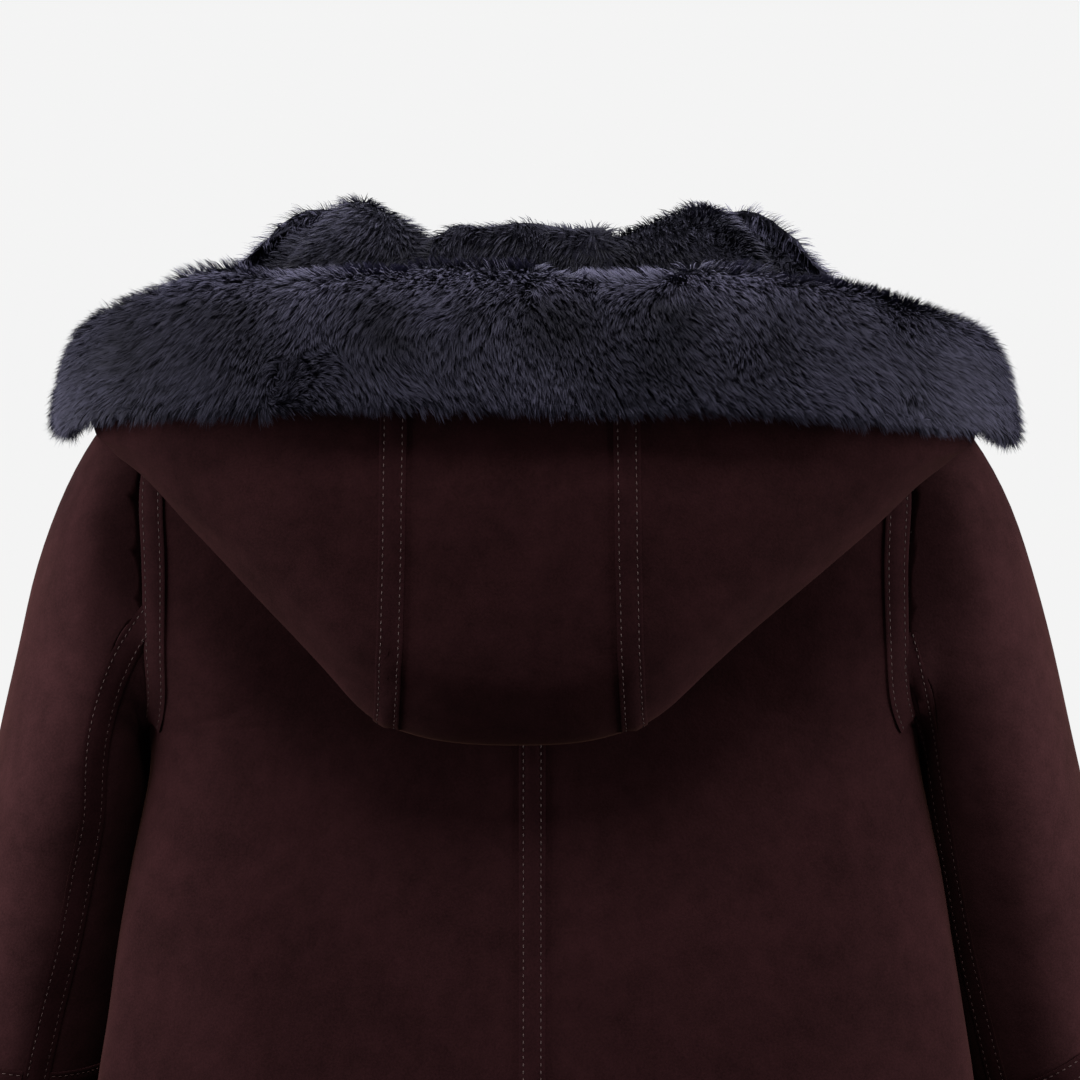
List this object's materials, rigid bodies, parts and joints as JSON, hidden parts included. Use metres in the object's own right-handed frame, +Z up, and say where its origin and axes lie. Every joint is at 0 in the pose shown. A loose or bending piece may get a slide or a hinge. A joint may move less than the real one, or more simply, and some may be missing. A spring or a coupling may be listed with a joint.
{
  "type": "hooded faux shearling coat",
  "caption": "Hooded faux shearling coat, open underneath and filled out as if worn, with suede outside, pile inside and the hood folded down behind.",
  "frame": {"origin": "middle of the neck opening, level with the points where the shoulder seams meet the neckline", "axes": "+Z up along the coat, -Y the way the wearer faces, +X towards the wearer's left"},
  "size_m": [0.7412, 0.3624, 0.8535],
  "materials": {
    "suede": "dark brown red faux suede, matt and napped",
    "fur": "dark blue grey faux fur, soft and dense"
  },
  "bodies": {
    "root": {"armhole_strap_left": "suede", "armhole_strap_right": "suede", "back_left": "suede", "back_right": "suede", "centre_back_strap": "suede", "elbow_strap_left": "suede", "elbow_strap_right": "suede", "forearm_top_left": "suede", "forearm_top_right": "suede", "forearm_under_left": "suede", "forearm_under_right": "suede", "front_left": "suede", "front_right": "suede", "hood_centre": "suede", "hood_cuff": "fur", "hood_left": "suede", "hood_right": "suede", "hood_strap_left": "suede", "hood_strap_right": "suede", "sleeve_strap_left": "suede", "sleeve_strap_right": "suede", "sleeve_top_left": "suede", "sleeve_top_right": "suede", "sleeve_under_left": "suede", "sleeve_under_right": "suede"}
  },
  "joints": []
}
